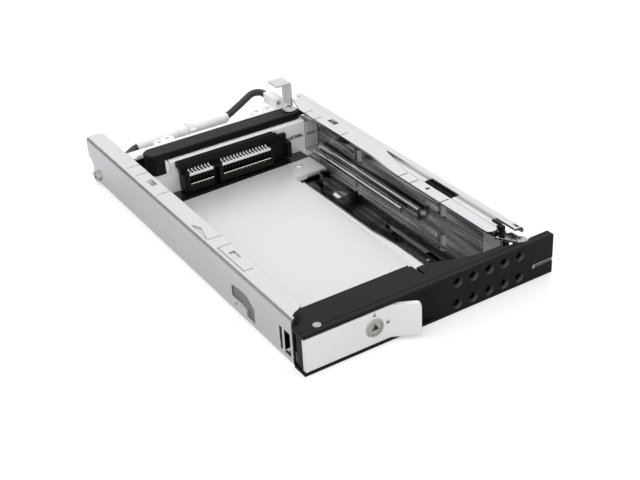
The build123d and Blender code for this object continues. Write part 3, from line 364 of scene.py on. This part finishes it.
def prism(name, outline, z0, z1, finish, slot, body):
    """An outline of (u, v) points, counterclockwise from above, carried up from z0 to z1 and capped."""
    count = len(outline)
    levels = [np.column_stack((outline, np.full(count, z))) for z in (z0, z1)]
    caps = [range(count)[::-1], range(count, 2 * count)]
    piece(name, place(np.vstack(levels)), [*caps, *shell(2, count)], finish, slot, body)


def blocks(name, boxes, finish, slot, body, edge=0.08):
    """Joined blocks, each (u0, u1, v0, v1, z0, z1): corner c of a block is low + c * (high - low)."""
    boxes = np.array(boxes)
    low = place(boxes[:, ::2])[:, None]
    high = place(boxes[:, 1::2])[:, None]
    points = (low + CORNERS * (high - low)).reshape(-1, 3)
    made = piece(name, points, copied(SIDES, len(CORNERS), len(boxes)), finish, slot, body)
    soften = made.modifiers.new("soft_edges", "BEVEL")
    soften.width = edge * mm
    soften.segments = 2


# Hood over the receptacle
lip_v = span("receptacle")[0][1]
hood_back = lip_v + 4.6
hood_foot = 7.9
hood_top = span("receptacle")[1][2] - 1.9
blocks("receptacle_hood", [
    (19.2, 57.4, lip_v + 2.3, hood_back, 10.2, 12.5),
    (57.4, 58.8, lip_v + 2.6, hood_back, 10.2, 11.7),
    (58.8, 62.4, lip_v + 2.9, hood_back, 9.0, 10.7),
    (20.6, 56.0, lip_v + 0.2, lip_v + 2.6, hood_foot, hood_top),
    (56.0, 57.6, lip_v + 0.9, lip_v + 2.8, hood_foot, 8.4),
    (20.0, 57.0, lip_v + 2.45, hood_back, 8.2, 10.4),
], filled_nylon, "connector_black", "housing", edge=0.15)

# Two combs of bright terminals along the hood's front: a bar above, a bar below, and for every
# contact a flat tooth and an upright one
PITCH = 1.27
HALF_BLADE = 0.35
HALF_TOOTH = 0.24
for name, contacts, count in (("signal_comb", "signal_contacts", 7), ("power_comb", "power_contacts", 15)):
    first = span(contacts)[0][0] + HALF_BLADE
    last = first + (count - 1) * PITCH
    comb = [(first - 0.75, last + 0.75, lip_v - 0.05, lip_v + 0.3, hood_top - 0.95, hood_top - 0.05),
            (first - 0.6, last + 0.6, lip_v - 0.1, lip_v + 0.02, 4.55, 4.85)]
    for v0, v1, z0, z1 in ((0.1, 2.45, -0.2, 0.06), (2.3, 2.42, 0.0, 0.6)):
        middles = [first + n * PITCH for n in range(count)]
        comb += [(u - HALF_TOOTH, u + HALF_TOOTH, lip_v + v0, lip_v + v1, hood_top + z0, hood_top + z1)
                 for u in middles]
    blocks(name, comb, terminal_tin, "contact_gold", "housing", edge=0.04)

# Plate that closes the corner between the backplate and the rail, with its ground fingers: two rows
# of four, each row on a bar. A row is its first u, step, width, its front and back ahead of the
# backplate's face, and its top.
face_v = span("backplate")[0][1]
blocks("corner_plate", [(71.2, 76.4, face_v - 0.45, face_v - 0.1, 1.6, 12.0)], satin_zinc,
       "bright_steel", "housing")
finger_rows = ((64.2, 1.45, 0.9, 0.4, 0.05, 7.9), (71.6, 1.2, 0.7, 0.75, 0.4, 7.8))
fingers = []
for u, step, width, near, far, top in finger_rows:
    fingers += [(u + n * step, u + width + n * step, face_v - near, face_v - far, 7.1, top)
                for n in range(4)]
fingers += [(63.9, 70.4, face_v - 0.2, face_v - 0.05, 6.7, 7.2),
            (71.3, 76.2, face_v - 0.6, face_v - 0.4, 6.8, 7.2)]
blocks("ground_fingers", fingers, nickel, "plated_steel", "housing", edge=0.05)

# Lips of the guide rail in the gap, one before and one behind the black guide block
rail_top = span("guide_rail")[1][2]
guide_low, guide_high = span("rod_guide")
gap_u = (75.35, 78.6)
gap_v = (12.4, guide_low[1] - 0.2, guide_high[1] + 0.2, 70.3)
lip_z = (rail_top - 1.65, rail_top - 1.35)
prism("front_lip", [(gap_u[0], gap_v[0]), (gap_u[1], gap_v[0]), (gap_u[1], gap_v[1]),
                    (gap_u[0], gap_v[1])], *lip_z, terminal_tin, "bright_steel", "housing")
prism("rear_lip", [(gap_u[0], gap_v[2]), (gap_u[1], gap_v[2]), (gap_u[1], gap_v[3]), (76.95, gap_v[3]),
                   (gap_u[0], 58.0)], *lip_z, terminal_tin, "bright_steel", "housing")

# Hooked black stop at the gap's front end: a foot, a neck and a nose
stop_u = 75.5
stop_top = rail_top - 0.8
blocks("rod_stop", [
    (stop_u, stop_u + 1.5, 9.9, 11.3, stop_top - 2.25, stop_top),
    (stop_u, stop_u + 0.9, 11.2, 13.0, stop_top - 1.6, stop_top - 0.6),
    (stop_u + 0.7, stop_u + 1.5, 11.2, 15.4, stop_top - 0.8, stop_top),
], black_abs, "black_plastic", "housing", edge=0.15)

# Rim of the keyway: a triangle of r = 1.62 about one of r = 1.42, proud of the plug. Its profile is
# (r, v), outer and inner in front, inner and outer behind.
RIM_PROFILE = ((1.62, -0.16), (1.42, -0.16), (1.42, -0.06), (1.62, -0.06))
lock_low, lock_high = span("lock_plug")
lock_u, _, lock_z = (lock_low + lock_high) / 2
rim = turned(RIM_PROFILE, sides=3, first=-math.pi / 6)[:, (0, 2, 1)]
piece("keyway_rim", place(rim + (lock_u, 0, lock_z)), shell(len(RIM_PROFILE), 3, closed=True), nickel,
      "plated_steel", "lock")


def padlock(name, u, z, size, opened):
    """A plain padlock mark: a body and a shackle of three bars, one lifted when opened."""
    lift = 0.25 * size if opened else 0.0
    bar = 0.14 * size
    half = 0.34 * size
    foot = z + 0.1 * size
    top = z + 0.5 * size + lift
    ink = (-0.03, 0.02)
    bars = [(u - size / 2, u + size / 2, *ink, z - 0.45 * size, foot),
            (u - half, u - half + bar, *ink, foot, top),
            (u - half, u + half, *ink, top - bar, top),
            (u + half - bar, u + half, *ink, foot + 1.2 * lift, top)]
    blocks(name, bars, grey_ink, "lead_dark", "handle", edge=0.01)


padlock("open_mark", lock_u, lock_z + 4.1, size=1.0, opened=True)
padlock("closed_mark", lock_u + 4.4, lock_z + 0.2, size=1.2, opened=False)


def crinkled_sleeve(start, stop, radius, rings=150, sides=28):
    """A shrunk sleeve: radius r(t, a) = R (1 + 0.03 sin(9 T + 2 sin a) + 0.018 sin(23 T + 3 a)) with
    T = 2 pi t, drawn in at both ends by a quarter and closed on the lead."""
    t = np.linspace(0, 1, rings)[:, None]
    a = np.linspace(0, 2 * np.pi, sides, endpoint=False)[None, :]
    turn = 2 * np.pi * t
    ends = 1 - 0.25 * np.exp(-(t / 0.03) ** 2) - 0.25 * np.exp(-((1 - t) / 0.03) ** 2)
    r = radius * ends * (1 + 0.03 * np.sin(9 * turn + 2 * np.sin(a)) + 0.018 * np.sin(23 * turn + 3 * a))
    way = (stop - start) / np.linalg.norm(stop - start)
    side = np.cross(way, (0, 0, 1.0))
    side /= np.linalg.norm(side)
    up = np.cross(side, way)
    line = start + t[..., None] * (stop - start)
    points = line + r[..., None] * (np.cos(a)[..., None] * side + np.sin(a)[..., None] * up)
    caps = [range(sides)[::-1], range((rings - 1) * sides, rings * sides)]
    return points.reshape(-1, 3), [*shell(rings, sides), *caps]


# The sleeve runs past the plain one, 2.5 mm at its start and 3.5 mm at its end, on the same line
sleeve_low, sleeve_high = span("lead_sleeve")
SLEEVE_R = 2.1
sleeve_start = place(sleeve_low + (-2.5, SLEEVE_R - 0.05, SLEEVE_R))
sleeve_stop = place(sleeve_high + (3.5, 0.05 - SLEEVE_R, -SLEEVE_R))
sleeve = piece("shrunk_sleeve", *crinkled_sleeve(sleeve_start, sleeve_stop, SLEEVE_R * mm),
               shrink_sleeve, "sleeve_white", "housing", smooth=True)
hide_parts("lead_sleeve")

# Captive nuts in the four holes of the floor: rings of r = 1.58, with an open bore of r = 1.25 for the
# screw. Their profile is (r, z), outer below and above, inner above and below.
NUT_SIDES = 24
NUT_PROFILE = ((1.58, 0.1), (1.58, 0.79), (1.25, 0.79), (1.25, 0.1))
nut = turned(NUT_PROFILE, NUT_SIDES)
screws = next(mount for mount in frame["record"]["mounts"] if mount["name"] == "floor_screws")
middle = (np.array(screws["pos_m"]) - origin) / mm
reach = np.array((screws["dims"]["spacing_x_mm"], screws["dims"]["spacing_y_mm"], 0)) / 2
for number, corner in enumerate(((-1, -1, 0), (-1, 1, 0), (1, -1, 0), (1, 1, 0)), start=1):
    piece("captive_nut_%d" % number, place(middle + corner * reach + nut),
          shell(len(NUT_PROFILE), NUT_SIDES, closed=True), tray_sheet, "zinc_steel", "housing")

# A black sheet inside the channel, behind the rail's two windows: painted shade, so that the windows read
# dark
channel_u = span("guide_rail")[1][0]
windows = []
for tab in ("spring_tab_1", "spring_tab_2"):
    tab_low, tab_high = span(tab)
    windows.append((channel_u + 0.02, channel_u + 0.1, tab_low[1] - 0.7, tab_low[1] + 4.5,
                    tab_low[2] - 0.6, tab_high[2] + 0.7))
blocks("painted_window_shade", windows, foam, "black_plastic", "housing", edge=0.02)

# Rims of the ten vents: each a cone from r = 1.66 at the door's face to r = 1.02 in its bore, with the
# profile (r, v)
VENT_SIDES = 28
VENT_PROFILE = ((1.66, 0.0), (1.02, 0.84), (1.02, 1.2))
door_low, door_high = span("door")
door_bottom = door_low[2]
door_top = door_high[2]
door_back = door_high[1]
first_vent = 51.5
vent_step = 5.69
vent_rows = (door_bottom + 2.9, door_top - 3.0)
vent_middles = np.array([(first_vent + vent_step * n, 0, z) for z in vent_rows for n in range(5)])
vent = turned(VENT_PROFILE, VENT_SIDES)[:, (0, 2, 1)]
# The rims' lighter grey is a painted highlight
piece("vent_rims", place(vent_middles[:, None] + vent).reshape(-1, 3),
      copied(shell(len(VENT_PROFILE), VENT_SIDES), len(vent), len(vent_middles)), glossy_abs_painted_highlight,
      "black_plastic", "door", smooth=True)

# Stop in the notch at the end of the latch box
blocks("notch_stop", [(42.7, 43.9, door_back - 2.85, door_back - 0.1, door_top - 1.95, door_top - 0.6)],
       black_abs, "black_plastic", "door")

# Inner end of the door, seen through the slot that the latch hooks into; it stays clear of the
# hook, whose tip swings 0.37 mm past the door's back
blocks("latch_guard", [(1.4, 12.3, door_back + 0.5, door_back + 0.75, door_bottom + 1.1, door_top - 1.7)],
       black_abs, "black_plastic", "door")

# Centre line of the light slot
pipe_low, pipe_high = span("light_pipe")
pipe_z = (pipe_low[2] + pipe_high[2]) / 2
blocks("light_line", [(pipe_low[0] + 0.9, pipe_high[0] - 0.6, pipe_low[1] - 0.04, pipe_low[1] + 0.05,
                       pipe_z - 0.14, pipe_z + 0.14)], foam, "black_plastic", "door", edge=0.01)

# Black foam behind the vents
blocks("vent_foam", [(46.0, 73.2, 1.85, 2.3, door_bottom + 2.0, door_top - 1.9)], foam,
       "black_plastic", "door")


# Studio

def panel(name, centre, target, width, height, energy):
    """A soft rectangular lamp at centre, facing target."""
    lamp = bpy.data.lights.new(name, "AREA")
    lamp.shape = "RECTANGLE"
    lamp.size = width
    lamp.size_y = height
    lamp.energy = energy
    holder = bpy.data.objects.new(name, lamp)
    bpy.context.scene.collection.objects.link(holder)
    holder.location = centre
    holder.rotation_euler = (Vector(target) - Vector(centre)).to_track_quat("-Z", "Y").to_euler()
    holder.visible_glossy = False


def card(name, corners, finish):
    """A flat four-cornered card."""
    mesh = bpy.data.meshes.new(name)
    mesh.from_pydata([tuple(c) for c in corners], [], [(0, 1, 2, 3)])
    mesh.materials.append(finish)
    made = bpy.data.objects.new(name, mesh)
    bpy.context.scene.collection.objects.link(made)
    return made


# White acrylic table: lifted towards white for the camera, with a soft shadow and a faint gloss
TABLE_HALF = 4
CAMERA_LIFT = 0.42
table_top, tree, shader = material("white_acrylic_table", "#D8D8D8", 0.0, 0.08, IOR=1.45)
ray = add(tree, "LightPath")
lift = add(tree, "Math", {"operation": "MULTIPLY"}, i0=ray.outputs["Is Camera Ray"], i1=CAMERA_LIFT)
glow = add(tree, "Emission", Strength=lift.outputs[0])
both = add(tree, "AddShader", i0=shader.outputs["BSDF"], i1=glow.outputs["Emission"])
tree.links.new(both.outputs[0], tree.nodes["Material Output"].inputs["Surface"])
card("table", [(x * TABLE_HALF, y * TABLE_HALF, 0) for x, y in ((-1, -1), (1, -1), (1, 1), (-1, 1))],
     table_top)

# Streaked grey card at the left rear, out of the picture, that the polished rail mirrors
streaked_paper, tree, shader = material("streaked_card", "#808080", 0.0, 0.9)
where = add(tree, "TexCoord").outputs["Object"]
drawn = add(tree, "Mapping", Vector=where, Scale=(0.6, 0.6, 1.0)).outputs["Vector"]
streaks = add(tree, "TexNoise", Vector=drawn, Scale=9.0, Detail=2.0, Distortion=0.8)
ramp = add(tree, "ValToRGB", Fac=streaks.outputs["Fac"])
for element, position, tone in zip(ramp.color_ramp.elements, (0.42, 0.58), ("#2A2A2A", "#E0E0E0")):
    element.position = position
    element.color = linear(tone)
tree.links.new(ramp.outputs["Color"], shader.inputs["Base Color"])
card_foot = ((-0.75, 0.2), (-0.25, 0.75))
card_height = 0.6
streaked = card("streaked_card", [(*card_foot[0], 0.0), (*card_foot[1], 0.0), (*card_foot[1], card_height),
                                  (*card_foot[0], card_height)], streaked_paper)
streaked.visible_camera = False
streaked.visible_shadow = False
streaked.visible_diffuse = False

# Sky: white where it is seen, mirrored or seen through, and a little less as light
SKY_LIGHT = 0.85
SKY_SEEN = 1.0
world = bpy.data.worlds.new("studio")
bpy.context.scene.world = world
world.use_nodes = True
tree = world.node_tree
ray = add(tree, "LightPath")
seen = add(tree, "Math", {"operation": "MAXIMUM"}, i0=ray.outputs["Is Camera Ray"],
           i1=ray.outputs["Is Glossy Ray"])
seen_through = add(tree, "Math", {"operation": "MAXIMUM"}, i0=seen.outputs[0],
                   i1=ray.outputs["Is Transmission Ray"])
level = add(tree, "MapRange", Value=seen_through.outputs[0], To_Min=SKY_LIGHT, To_Max=SKY_SEEN)
tree.links.new(level.outputs["Result"], tree.nodes["Background"].inputs["Strength"])
tree.nodes["Background"].inputs["Color"].default_value = (1, 1, 1, 1)

panel("key_lamp", (-0.30, -0.25, 0.65), (0, 0, 0), width=0.6, height=0.6, energy=1.6)
panel("rear_lamp", (0.35, 0.60, 0.45), (0, 0, 0), width=0.7, height=0.35, energy=1.2)

# Camera: the place and turn fitted to the photograph's own corners. The eye is in metres, the three
# turns in degrees.
EYE = (-0.1634, -0.2955, 0.1935)
TURNS = (-30.633, 30.897, -3.449)
azimuth, elevation, roll = (math.radians(turn) for turn in TURNS)
back = Vector((math.sin(azimuth) * math.cos(elevation), -math.cos(azimuth) * math.cos(elevation),
               math.sin(elevation)))
level_right = (-back).cross(Vector((0, 0, 1))).normalized()
level_down = (-back).cross(level_right)
right = math.cos(roll) * level_right - math.sin(roll) * level_down
down = math.sin(roll) * level_right + math.cos(roll) * level_down
lens = bpy.data.cameras.new("camera")
lens.sensor_width = 36.0
lens.lens = 66.36
camera = bpy.data.objects.new("camera", lens)
bpy.context.scene.collection.objects.link(camera)
camera.matrix_world = Matrix.Translation(EYE) @ Matrix((right, -down, back)).transposed().to_4x4()
bpy.context.scene.camera = camera
bpy.context.scene.view_settings.view_transform = "Standard"
